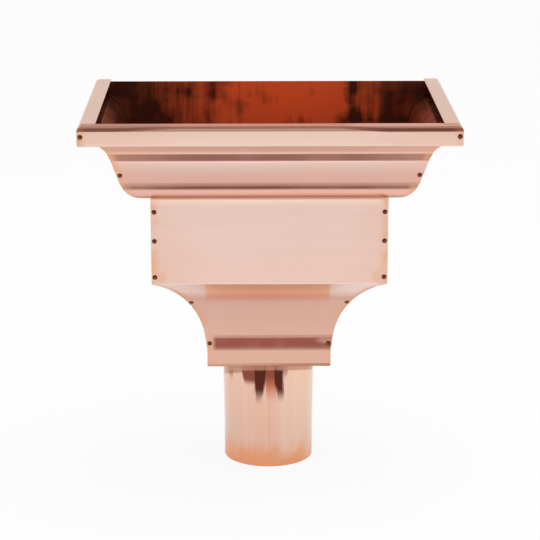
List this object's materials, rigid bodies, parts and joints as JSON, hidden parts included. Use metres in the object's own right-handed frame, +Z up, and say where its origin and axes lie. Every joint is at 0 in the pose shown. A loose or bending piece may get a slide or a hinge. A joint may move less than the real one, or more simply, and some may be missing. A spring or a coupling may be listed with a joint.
{
  "type": "downpipe hopper head",
  "caption": "Folded copper hopper head with a moulded crown, open top, coved throat, flat wall side and round outlet that feeds a downpipe.",
  "frame": {"origin": "on the wall face, on the centre line, 105 mm below the rim", "axes": "+Z up, +Y into the wall, +X to the right as seen from the front"},
  "size_m": [0.305, 0.2169, 0.3295],
  "materials": {
    "copper_sheet": "bright rolled copper sheet",
    "copper_rivet": "dark tarnished copper"
  },
  "bodies": {
    "root": {"front_panel": "copper_sheet", "left_side_panel": "copper_sheet", "right_side_panel": "copper_sheet", "wall_panel": "copper_sheet", "neck_plate": "copper_sheet", "outlet_tube": "copper_sheet", "left_corner_rivets": "copper_rivet", "right_corner_rivets": "copper_rivet"}
  },
  "joints": []
}
